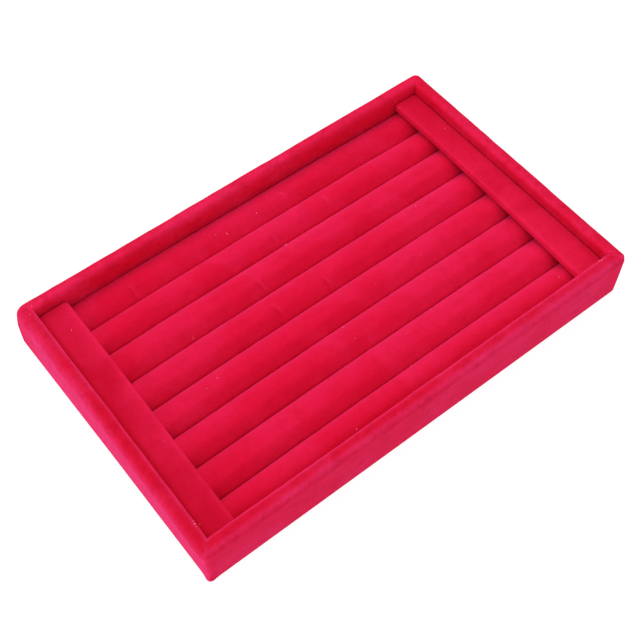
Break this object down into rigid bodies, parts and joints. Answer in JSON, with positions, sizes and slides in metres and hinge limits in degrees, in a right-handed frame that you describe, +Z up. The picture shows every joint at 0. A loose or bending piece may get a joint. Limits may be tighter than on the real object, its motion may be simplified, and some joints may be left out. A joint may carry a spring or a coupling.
{
  "type": "ring storage tray",
  "caption": "Open rectangular velvet-covered jewelry tray with padded rolls along its length, slots between them for rings, and a flat bar over each end of the rolls.",
  "frame": {"origin": "centre of the underside, on the surface that the tray rests on", "axes": "+X along the tray's long side and the rolls, +Y towards the back wall, +Z up out of the tray"},
  "size_m": [0.225, 0.1416, 0.0268],
  "materials": {
    "velvet": "matte",
    "board": "matte",
    "card": "matte",
    "foam": "matte",
    "lining": "matte"
  },
  "bodies": {
    "root": {"base_lining": "lining", "bottom_board": "board", "end_bar_board_left": "board", "end_bar_board_right": "board", "end_bar_velvet_left": "velvet", "end_bar_velvet_right": "velvet", "insert_card": "card", "roll_core_1": "foam", "roll_core_2": "foam", "roll_core_3": "foam", "roll_core_4": "foam", "roll_core_5": "foam", "roll_core_6": "foam", "roll_core_7": "foam", "roll_core_8": "foam", "roll_velvet_1": "velvet", "roll_velvet_2": "velvet", "roll_velvet_3": "velvet", "roll_velvet_4": "velvet", "roll_velvet_5": "velvet", "roll_velvet_6": "velvet", "roll_velvet_7": "velvet", "roll_velvet_8": "velvet", "wall_board_back": "board", "wall_board_front": "board", "wall_board_left": "board", "wall_board_right": "board", "wall_velvet_back": "velvet", "wall_velvet_front": "velvet", "wall_velvet_left": "velvet", "wall_velvet_right": "velvet"}
  },
  "joints": []
}
